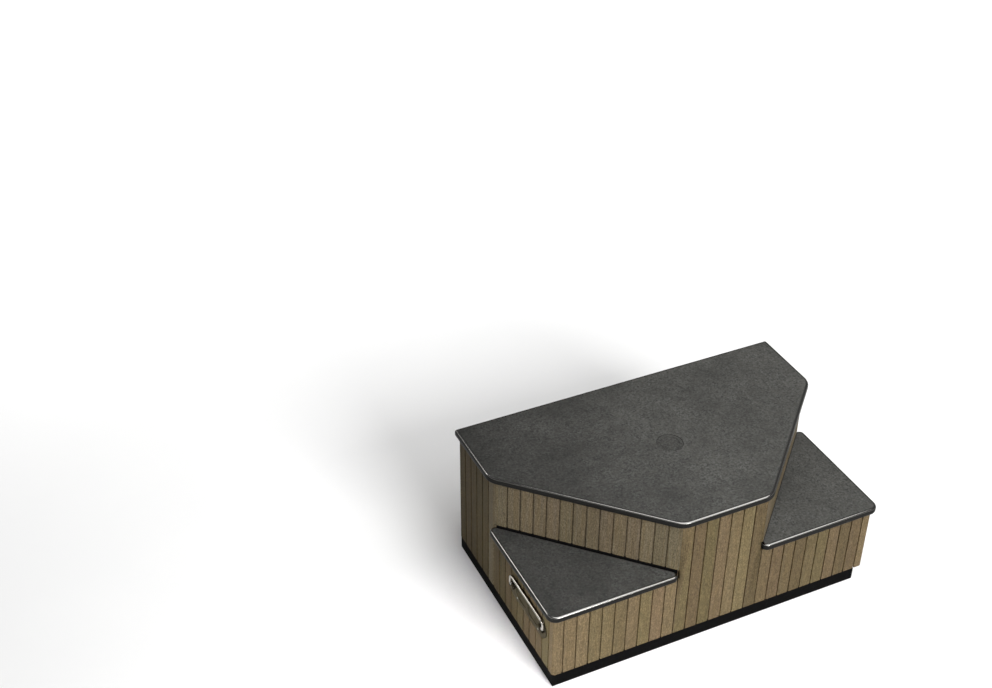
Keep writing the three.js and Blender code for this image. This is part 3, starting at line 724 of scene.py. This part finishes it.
def painted_slat_shade(point):
    """Painted shade on a slat, as a share of its tone, from its place: the sides grow darker
    towards the tub, and the front is a little darker on the right."""
    right_share = 0.7
    darkest_share = 0.02
    loss_to_the_back = 1.9
    if abs(point.x) < HALF_WIDTH - GAP:
        return 1.0 if point.x < NOSE_X else right_share
    rearward = (point.y - FRONT_Y) / (BACK_Y - FRONT_Y)
    return max(darkest_share, 1.0 - loss_to_the_back * rearward)


def slat_panel(node, start, end, slats, wall, kinds, notches=()):
    """A run of separate upright slats in place of a CAD panel. Wall is its bottom and top, and
    kinds says how the run's two ends are shaped."""
    chance = random.Random(node)
    batch = GREY_BATCH if "riser" in node else BROWN_BATCH
    start = Vector(start)
    direction = (Vector(end) - start).normalized()
    pitch = (Vector(end) - start).length / slats
    shape = Shape()
    for index in range(slats):
        first = kinds[0] if index == 0 else "groove"
        last = kinds[1] if index == slats - 1 else "groove"
        section = start_edge(first, index * pitch) + end_edge(last, (index + 1) * pitch)
        middle = start + direction * (index + 0.5) * pitch
        # The tone is random, times painted shade from the slat's place.
        tone = chance.uniform(*TONE_RANGE) * painted_slat_shade(middle)
        outline = rounded(along_wall(start, direction, section))
        shape.prism(outline, *wall, mark=batch + tone)
    name = node.replace("_panel", "_slats")
    data = shape.mesh(name)
    if notches:
        data = cut_and_join(data, cutters=notches)
    add_piece(name, data, SLATS, [node])


def block(x_range, y_range, z_range):
    """A plain block, used only to cut notches."""
    x0, x1 = sorted(x_range)
    y0, y1 = sorted(y_range)
    outline = rounded([(x0, y0, 0), (x1, y0, 0), (x1, y1, 0), (x0, y1, 0)])
    shape = Shape()
    shape.prism(outline, *sorted(z_range), ease=0)
    return shape


def add_front_slats():
    """The front in three runs. The middle one is notched where the lower treads' tips enter it."""
    margin = 1 * MM
    y_range = (FRONT_Y - margin, FRONT_Y + THICKNESS + margin)
    notches = []
    for _, side in SIDES:
        x_range = (side * (NOSE_X - NOTCH_LENGTH), side * (NOSE_X + margin))
        notches.append(block(x_range, y_range, (LOWER_CLAD_TOP, RISER_BOTTOM)))
    slat_panel(
        "front_centre_panel",
        (-NOSE_X, FRONT_Y),
        (NOSE_X, FRONT_Y),
        SLATS_FRONT_CENTRE,
        TALL_WALL,
        ("mitre", "mitre"),
        notches,
    )
    corner_x = HALF_WIDTH - CORNER_LEG
    for label, start_x, end_x in (("left", -corner_x, -NOSE_X), ("right", NOSE_X, corner_x)):
        ends = ((start_x, FRONT_Y), (end_x, FRONT_Y))
        slat_panel(f"front_{label}_panel", *ends, SLATS_FRONT_SIDE, LOW_WALL, ("groove", "groove"))


def mirrored(place):
    return (-place[0], place[1])


def add_side_slats(label, side):
    """A side face, low in front of the shoulder and tall behind it, and the riser between them.
    Each run goes from rear to front on the left, and from front to rear on the right."""
    x = -HALF_WIDTH
    along = SLAT_PITCH / math.sqrt(2)
    low_front = (x, FRONT_Y + CORNER_LEG)
    tall_front = (x, SHOULDER_Y + SLAT_PITCH)
    riser_rear = (x + along, SHOULDER_Y - along)
    nose = (-NOSE_X, FRONT_Y)
    runs = (
        ("side", (x, SHOULDER_Y), low_front, SLATS_FRONT_SIDE, LOW_WALL, ("groove", "groove")),
        ("rear", (x, BACK_Y), tall_front, SLATS_REAR_SIDE, TALL_WALL, ("butt", "groove")),
        ("riser", riser_rear, nose, SLATS_RISER, RISER_WALL, ("groove", "mitre")),
    )
    for part, rear, front, slats, wall, kinds in runs:
        node = f"{label}_{part}_panel"
        if side == LEFT:
            slat_panel(node, rear, front, slats, wall, kinds)
        else:
            slat_panel(node, mirrored(front), mirrored(rear), slats, wall, kinds[::-1])


def corner_outline(corner, into, out_of, leg, radius):
    """A moulding that turns a corner of the left half, with half a groove at each edge."""
    corner = Vector(corner)
    into = Vector(into).normalized()
    out_of = Vector(out_of).normalized()
    inward = Vector((-into.y - out_of.y, into.x + out_of.x)).normalized()
    reach = THICKNESS / inward.dot(Vector((-into.y, into.x)))
    inner = corner + inward * reach
    return (
        along_wall(corner - into * leg, into, start_edge("groove", 0))
        + [(corner.x, corner.y, radius)]
        + along_wall(corner, out_of, end_edge("groove", leg))
        + [(inner.x, inner.y, max(0, radius - THICKNESS))]
    )


def add_front_corner(label, side):
    """The low moulding between a side face and the front."""
    node = f"front_{label}_corner"
    corner = (-HALF_WIDTH, FRONT_Y)
    outline = corner_outline(corner, (0, -1), (1, 0), CORNER_LEG, FRONT_CORNER_RADIUS)
    shape = Shape()
    shape.prism(rounded(on_side(side, outline)), *LOW_WALL, mark=FRONT_CORNER_HIGHLIGHT_TONE)
    add_piece(node + "_moulding", shape.mesh(node), SLATS, [node])


def add_shoulder_corner(label, side):
    """Full height on the side face. Above the lower tread it turns the corner onto the riser. The
    cuts blend the marks of the points they make, so every mark is set again after them."""
    node = label + "_shoulder_corner"
    corner = (-HALF_WIDTH, SHOULDER_Y)
    outline = corner_outline(corner, (0, -1), (1, -1), SLAT_PITCH, SHOULDER_CORNER_RADIUS)
    shape = Shape()
    shape.prism(rounded(on_side(side, outline)), *TALL_WALL)
    margin = 2 * MM
    outside = side * (HALF_WIDTH + margin)
    groove_floor = side * (HALF_WIDTH - GROOVE_DEPTH)
    inside = side * (HALF_WIDTH - SLAT_PITCH - THICKNESS)
    front_end = SHOULDER_Y - SLAT_PITCH
    low_part = (CLAD_BOTTOM - margin, RISER_BOTTOM)
    tread_part = (LOWER_CLAD_TOP, RISER_BOTTOM)
    cutters = [
        block((outside, inside), (front_end, SHOULDER_Y + TONGUE_GAP), low_part),
        block((outside, groove_floor), (front_end, SHOULDER_Y + GROOVE_WIDTH / 2), low_part),
        block((outside, inside), (front_end, SHOULDER_Y + NOTCH_LENGTH), tread_part),
    ]
    data = cut_and_join(shape.mesh(node), cutters=cutters)
    for point_mark in data.attributes["mark"].data:
        point_mark.value = GREY_BATCH + SHOULDER_TONE
    add_piece(node + "_moulding", data, SLATS, [node])


# ---- Plinth, inner frame and black gap strips: the CAD solids, with eased edges and finishes ----
UPRIGHTS = (
    "rear_post",
    "shoulder_stud",
    "riser_stud_rear",
    "riser_stud_front",
    "centre_post",
    "corner_post",
)
BOARD_EASE = 1.5 * MM
GAP_STRIP_EASE = 0.5 * MM
SAME_POINT = 0.01 * MM
FLAT_ANGLE = math.radians(1)
EDGE_ANGLE = math.radians(30)


def ease_node(name, material, width=BOARD_EASE):
    """Gives a CAD node its finish and softens its edges."""
    node = frame["nodes"][name]
    node.material_slots[0].material = material
    weld = node.modifiers.new("weld", "WELD")
    weld.merge_threshold = SAME_POINT
    flatten = node.modifiers.new("flatten", "DECIMATE")
    flatten.decimate_type = "DISSOLVE"
    flatten.angle_limit = FLAT_ANGLE
    bevel = node.modifiers.new("ease", "BEVEL")
    bevel.width = width
    bevel.segments = 3
    bevel.limit_method = "ANGLE"
    bevel.angle_limit = EDGE_ANGLE
    shading = node.modifiers.new("even_shading", "WEIGHTED_NORMAL")
    shading.keep_sharp = False


def finish_side_nodes(label):
    """The nodes of one side. Each timber's grain runs along it."""
    timber_of = {
        "upright": UPRIGHTS,
        "deep": ("top_rail", "side_bearer"),
        label + "_slant": ("riser_top_rail", "riser_bearer"),
        "across": ("front_bearer",),
    }
    ease_node(label + "_sole_rail", PLINTH)
    # The riser seal is a black strip that stands in for the shadow in the gap under the riser:
    # painted shadow.
    ease_node(label + "_riser_seal", GAP_SHADOW_STRIP, GAP_STRIP_EASE)
    for direction, names in timber_of.items():
        for name in names:
            ease_node(f"{label}_{name}", TIMBER[direction])


def finish_cad_nodes():
    for name in ("front", "rear", "left", "right"):
        ease_node(name + "_plinth_rail", PLINTH)
    for label, _ in SIDES:
        finish_side_nodes(label)
    for name in ("rear_top_rail", "front_top_rail"):
        ease_node(name, TIMBER["across"])
    for name in sorted(frame["nodes"]):
        if name.startswith("tread_joist"):
            ease_node(name, TIMBER["deep"])


# ---- Handle ----
JOINT = frame["joints"][0]
PIVOT = Vector(JOINT["pos_m"])
PLATE_LOW, PLATE_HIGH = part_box("handle_plate")
BAIL_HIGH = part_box("handle_bail")[1]
ROD_RADIUS = 4 * MM
ROD_BEND = 12 * MM
FOOT_BEND = 5 * MM
FOOT_SHOULDER = 1.5 * MM
ROD_SIDES = 32
BEND_STEPS = 14
PIVOT_RADIUS = 2.5 * MM
PIVOT_LENGTH = 26 * MM
PIVOT_CHAMFER = 0.5 * MM
BORE_RADIUS = 2.8 * MM
BRACKET_RADIUS = 4.508 * MM
BRACKET_WIDTH = 13 * MM
LEDGE_DROP = 5 * MM
PLATE_EDGE = 0.9 * MM
PLATE_BACK_EDGE = 0.3 * MM
PLATE_EDGE_STEPS = 5
DISH_DEPTH = 1.5 * MM
DISH_HALF_LENGTH = 36 * MM
DISH_HALF_HEIGHT = 19 * MM
DISH_CORNER_RADIUS = 18.5 * MM
DISH_OFFSET = 40 * MM
TURNED_SPOKES = 40


def sweep(shape, path, radii, sides, side_axis):
    """A round rod along a path. Side_axis is a direction that the path never runs along."""
    rings = []
    for index, here in enumerate(path):
        before = path[max(index - 1, 0)]
        after = path[min(index + 1, len(path) - 1)]
        direction = (after - before).normalized()
        across = direction.cross(side_axis).normalized()
        up = across.cross(direction)
        ring = []
        for step in range(sides):
            angle = 2 * math.pi * step / sides
            ring.append(here + (across * math.cos(angle) + up * math.sin(angle)) * radii[index])
        rings.append(ring)
    shape.loft(rings)


def fillet_path(corners, steps):
    """A path through corners (point, radius) with an arc at each inner corner."""
    path = [corners[0][0]]
    for before, (corner, radius), after in zip(corners, corners[1:], corners[2:]):
        into = (corner - before[0]).normalized()
        out_of = (after[0] - corner).normalized()
        setback = radius * math.tan(into.angle(out_of) / 2)
        start = corner - into * setback
        centre = start + (out_of - into * into.dot(out_of)).normalized() * radius
        for step in range(steps + 1):
            turn = into.angle(out_of) * step / steps
            turned = centre + (start - centre) * math.cos(turn)
            path.append(turned + into * (radius * math.sin(turn)))
    path.append(corners[-1][0])
    return path


def add_bail():
    """One bent rod. Its feet turn inwards and step down to the pivots."""
    foot = BAIL_HIGH.y - PIVOT.y - ROD_RADIUS
    bar_z = BAIL_HIGH.z - ROD_RADIUS
    inner = foot - PIVOT_LENGTH
    shoulder = foot - FOOT_BEND - FOOT_SHOULDER

    def at(y, z):
        return Vector((PIVOT.x, PIVOT.y + y, z))

    corners = [
        (at(-shoulder, PIVOT.z), 0),
        (at(-foot, PIVOT.z), FOOT_BEND),
        (at(-foot, bar_z), ROD_BEND),
        (at(foot, bar_z), ROD_BEND),
        (at(foot, PIVOT.z), FOOT_BEND),
        (at(shoulder, PIVOT.z), 0),
    ]
    rod = fillet_path(corners, BEND_STEPS)
    pin = [
        (inner, PIVOT_RADIUS - PIVOT_CHAMFER),
        (inner + PIVOT_CHAMFER, PIVOT_RADIUS),
        (shoulder - PIVOT_CHAMFER, PIVOT_RADIUS),
    ]
    start_pin = [at(-y, PIVOT.z) for y, _ in pin]
    end_pin = [at(y, PIVOT.z) for y, _ in reversed(pin)]
    pin_radii = [radius for _, radius in pin]
    path = start_pin + rod + end_pin
    radii = pin_radii + [ROD_RADIUS] * len(rod) + pin_radii[::-1]
    shape = Shape()
    sweep(shape, path, radii, ROD_SIDES, Vector((1, 0, 0)))
    data = shape.mesh("handle_bail_rod")
    add_piece("handle_bail_rod", data, CHROME, ["handle_bail"], body="bail")


def face_frame(origin):
    """Turns a shape drawn lying down, x along the handle and z outwards, onto the left face."""
    columns = (Vector((0, 1, 0)), Vector((0, 0, -1)), Vector((-1, 0, 0)))
    turned = Matrix(columns).transposed().to_4x4()
    return Matrix.Translation(origin) @ turned


def stadium(half_length, half_height, radius, centre_x=0.0):
    """A rounded rectangle around (centre_x, 0)."""
    return rounded(
        [
            (centre_x - half_length, -half_height, radius),
            (centre_x + half_length, -half_height, radius),
            (centre_x + half_length, half_height, radius),
            (centre_x - half_length, half_height, radius),
        ]
    )


def screw_places():
    """The plate's screws as (node, centre on the plate's face)."""
    for node in sorted(name for name in frame["nodes"] if name.startswith("handle_screw")):
        corner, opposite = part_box(node)
        middle = (corner + opposite) / 2
        yield node, Vector((corner.x, middle.y, middle.z))


def dish(direction, thickness):
    """The tool that cuts a long shallow dish into the plate, with a softly rounded rim."""
    outer = stadium(DISH_HALF_LENGTH, DISH_HALF_HEIGHT, DISH_CORNER_RADIUS, direction * DISH_OFFSET)
    floor = (3.4 * MM, -DISH_DEPTH)
    lower_wall = (1.8 * MM, -DISH_DEPTH * 0.85)
    upper_wall = (0.8 * MM, -DISH_DEPTH * 0.45)
    rim = (0, 0)
    above = (-1.5 * MM, 1.0 * MM)
    shape = Shape()
    rings = []
    for depth, rise in (floor, lower_wall, upper_wall, rim, above):
        rings.append([(*point, thickness + rise) for point in inset(outer, depth)])
    shape.loft(rings)
    return shape


def screw_hole(spot):
    """The tool that cuts a countersunk hole."""
    shank_radius = 2.1 * MM
    head_radius = 3.8 * MM
    head_depth = 1.7 * MM
    reach = 4 * MM
    margin = 1 * MM
    shape = Shape()
    profile = [
        (shank_radius, reach),
        (shank_radius, head_depth),
        (head_radius, 0),
        (head_radius + margin, -margin),
    ]
    lathe_x(shape, spot, profile, TURNED_SPOKES)
    return shape


def add_handle_plate():
    """A satin plate with softly rounded edges, two long shallow dishes and four screw holes."""
    half_length = (PLATE_HIGH.y - PLATE_LOW.y) / 2
    half_height = (PLATE_HIGH.z - PLATE_LOW.z) / 2
    thickness = PLATE_HIGH.x - PLATE_LOW.x
    nearly_round = 0.999
    end_radius = half_height * nearly_round
    outline = stadium(half_length, half_height, end_radius)
    levels = [(PLATE_BACK_EDGE, 0), (0, PLATE_BACK_EDGE)]
    for step in range(PLATE_EDGE_STEPS + 1):
        angle = math.pi / 2 * step / PLATE_EDGE_STEPS
        depth = PLATE_EDGE * (1 - math.cos(angle))
        levels.append((depth, thickness - PLATE_EDGE * (1 - math.sin(angle))))
    shape = Shape()
    shape.loft([[(*point, z) for point in inset(outline, depth)] for depth, z in levels])
    place = face_frame(Vector((PLATE_HIGH.x, PIVOT.y, (PLATE_LOW.z + PLATE_HIGH.z) / 2)))
    cutters = [dish(direction, thickness).moved(place) for direction in (LEFT, RIGHT)]
    cutters += [screw_hole(spot) for _, spot in screw_places()]
    data = cut_and_join(shape.moved(place).mesh("handle_plate_skin"), cutters=cutters)
    add_piece("handle_plate_skin", data, PLATE, ["handle_plate"])


def lathe_x(shape, spot, profile, spokes):
    """A solid of revolution about an axis along +X. The profile is (radius, distance along +X)."""
    rings = []
    for radius, along in profile:
        ring = []
        for step in range(spokes):
            angle = 2 * math.pi * step / spokes
            offset = Vector((along, radius * math.cos(angle), radius * math.sin(angle)))
            ring.append(spot + offset)
        rings.append(ring)
    shape.loft(rings)


def add_handle_screws():
    """Countersunk screws with a six-sided socket."""
    top_radius = 3.1 * MM
    head_radius = 3.5 * MM
    head_rim = 0.25 * MM
    head_depth = 1.9 * MM
    shank_radius = 1.8 * MM
    point_length = 2.5 * MM
    point_radius = 0.3 * MM
    socket_radius = 1.3 * MM
    socket_depth = 1.1 * MM
    margin = 1 * MM
    for node, spot in screw_places():
        length = high(node).x - low(node).x
        profile = [
            (top_radius, 0),
            (head_radius, head_rim),
            (shank_radius, head_depth),
            (shank_radius, length - point_length),
            (point_radius, length),
        ]
        shape = Shape()
        lathe_x(shape, spot, profile, TURNED_SPOKES)
        socket = Shape()
        lathe_x(socket, spot, [(socket_radius, -margin), (socket_radius, socket_depth)], 6)
        data = cut_and_join(shape.mesh(node + "_body"), cutters=[socket])
        add_piece(node + "_body", data, STEEL, [node])


def add_handle_bracket(label, direction):
    """A round-nosed block bored for the pivot, with a stop ledge under the bail's leg."""
    node = "handle_bracket_" + label
    corner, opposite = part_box(node)
    ledge_top = PIVOT.z - LEDGE_DROP
    ease = 0.5 * MM
    chamfer = 0.3 * MM
    if direction == LEFT:
        body = (opposite.y - BRACKET_WIDTH, opposite.y)
    else:
        body = (corner.y, corner.y + BRACKET_WIDTH)

    def standing(corners, y_range):
        """A prism drawn in (x, z) and run along y."""
        shape = Shape()
        shape.prism(rounded([(x, -z, radius) for x, z, radius in corners]), *y_range, chamfer)
        turn = Matrix(((1, 0, 0, 0), (0, 0, 1, 0), (0, -1, 0, 0), (0, 0, 0, 1)))
        return shape.moved(turn)

    block_corners = [
        (opposite.x, corner.z, ease),
        (opposite.x, opposite.z, ease),
        (corner.x, opposite.z, BRACKET_RADIUS),
        (corner.x, corner.z, ease),
    ]
    ledge_corners = [
        (opposite.x, corner.z, ease),
        (opposite.x, ledge_top, ease),
        (corner.x, ledge_top, ease),
        (corner.x, corner.z, ease),
    ]
    main = standing(block_corners, body)
    ledge = standing(ledge_corners, (corner.y, opposite.y))
    margin = 2 * MM
    ends = (body[0] - margin, body[1] + margin)
    angles = [2 * math.pi * step / TURNED_SPOKES for step in range(TURNED_SPOKES)]
    circle = [Vector((math.cos(angle), math.sin(angle))) * BORE_RADIUS for angle in angles]
    bore = Shape()
    bore.loft([[(PIVOT.x + x, y, PIVOT.z + z) for x, z in circle] for y in ends])
    data = cut_and_join(main.mesh(node + "_block"), additions=[ledge], cutters=[bore])
    add_piece(node + "_block", data, PLATE, [node])


def add_handle_spring():
    """A torsion spring of round wire, with both tails standing up from the coil."""
    corner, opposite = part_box("handle_spring")
    wire = 0.6 * MM
    wire_sides = 12
    turns = 3.5
    steps_per_turn = 28
    tail_start = Vector((0, 0, 1 * MM))
    radius = (opposite.x - corner.x) / 2 - wire
    start_y = corner.y + wire
    end_y = opposite.y - wire
    top = opposite.z - wire
    steps = round(turns * steps_per_turn)
    coil = []
    for step in range(steps + 1):
        angle = math.pi + 2 * math.pi * turns * step / steps
        y = start_y + (end_y - start_y) * step / steps
        spoke = Vector((radius * math.cos(angle), y - PIVOT.y, radius * math.sin(angle)))
        coil.append(PIVOT + spoke)
    first_tail = [Vector((coil[0].x, coil[0].y, top)), coil[0] + tail_start]
    last_tail = [coil[-1] + tail_start, Vector((coil[-1].x, coil[-1].y, top))]
    path = first_tail + coil + last_tail
    shape = Shape()
    sweep(shape, path, [wire] * len(path), wire_sides, Vector((0, 1, 0)))
    data = shape.mesh("handle_spring_coil")
    add_piece("handle_spring_coil", data, STEEL, ["handle_spring"])


# ---- Floor, light and camera ----
CAMERA_PLACE = (-1.9002, -2.8194, 3.2256)
CAMERA_AZIMUTH = math.radians(-25.133)
CAMERA_ELEVATION = math.radians(35.257)
CAMERA_ROLL = math.radians(0.193)
CAMERA_LENS = 52.30


def add_camera():
    """Looks down at the front left of the steps."""
    data = bpy.data.cameras.new("camera")
    data.lens = CAMERA_LENS
    data.sensor_width = 36
    camera = bpy.data.objects.new("camera", data)
    turn = (
        Matrix.Rotation(CAMERA_AZIMUTH, 4, "Z")
        @ Matrix.Rotation(math.pi / 2 - CAMERA_ELEVATION, 4, "X")
        @ Matrix.Rotation(CAMERA_ROLL, 4, "Z")
    )
    camera.matrix_world = Matrix.Translation(CAMERA_PLACE) @ turn
    bpy.context.scene.collection.objects.link(camera)
    bpy.context.scene.camera = camera


def add_lamp(name, place, size, power, target=None, spread=180):
    """An oblong area lamp. It shines straight down unless it is given a target."""
    data = bpy.data.lights.new(name, "AREA")
    data.shape = "RECTANGLE"
    data.size, data.size_y = size
    data.energy = power
    data.spread = math.radians(spread)
    lamp = bpy.data.objects.new(name, data)
    lamp.location = place
    if target is not None:
        lamp.rotation_mode = "QUATERNION"
        lamp.rotation_quaternion = (lamp.location - target).to_track_quat("Z", "Y")
    bpy.context.scene.collection.objects.link(lamp)


def add_softbox(name, direction, distance, size, power, target, spread=180):
    """A square lamp aimed at a target. Direction is its azimuth, from the front and positive to the
    right, and its elevation."""
    round_turn, tilt = (math.radians(angle) for angle in direction)
    outward = Vector((math.sin(round_turn), -math.cos(round_turn), 0))
    back = outward * math.cos(tilt) + Vector((0, 0, math.sin(tilt)))
    add_lamp(name, target + back * distance, (size, size), power, target, spread)


def add_lights():
    """A ceiling panel, a broad key from the front, two narrow boxes for the left face and the glint
    on the left edges, and a wash over the floor behind."""
    middle = (CAD_BOX[0] + CAD_BOX[1]) / 2
    foot = Vector((-HALF_WIDTH, FRONT_Y, CLAD_BOTTOM))
    tip = Vector((-HALF_WIDTH, FRONT_Y, LOWER_CLAD_TOP))
    add_lamp("ceiling_panel", place=(0.50, -1.35, 3.0), size=(3.40, 3.2), power=110)
    add_softbox("key_box", (9, 28), distance=14.0, size=6.0, power=2550, target=middle)
    add_softbox(
        "left_grid_box", (-80, 14), distance=6.0, size=0.7, power=2.6, target=foot, spread=10
    )
    add_softbox(
        "left_edge_box", (-146, 40), distance=6.0, size=1.6, power=0.7, target=tip, spread=16
    )
    add_lamp("back_wash", place=(1.2, 5.6, 5.0), size=(10.0, 5.0), power=380, spread=76)


def add_floor():
    """A large pale floor with a faint mottle."""
    half = 12.0
    data = bpy.data.meshes.new("floor")
    corners = [(-half, -half, 0), (half, -half, 0), (half, half, 0), (-half, half, 0)]
    data.from_pydata(corners, [], [(0, 1, 2, 3)])
    floor = bpy.data.objects.new("floor", data)
    bpy.context.scene.collection.objects.link(floor)
    finish = Finish("pale_floor")
    mottle = finish.noise(finish.place(), 3.0, detail=4.0)
    finish.set(
        Base_Color=finish.mix(mottle, colour(0.84, 0.84, 0.84), colour(0.87, 0.87, 0.865)),
        Roughness=0.85,
    )
    data.materials.append(finish.material)


def add_world():
    """Faint even light from all round."""
    world = bpy.data.worlds.new("studio")
    world.use_nodes = True
    background = world.node_tree.nodes["Background"]
    background.inputs["Color"].default_value = WHITE
    background.inputs["Strength"].default_value = 0.18
    bpy.context.scene.world = world
    bpy.context.scene.view_settings.view_transform = "Standard"


add_camera()
add_floor()
add_world()
add_lights()

add_top_tread()
add_front_slats()
for side_label, side_sign in SIDES:
    add_lower_tread(side_label, side_sign)
    add_side_slats(side_label, side_sign)
    add_front_corner(side_label, side_sign)
    add_shoulder_corner(side_label, side_sign)
finish_cad_nodes()
add_handle_plate()
add_bail()
add_handle_bracket("front", LEFT)
add_handle_bracket("rear", RIGHT)
add_handle_spring()
add_handle_screws()
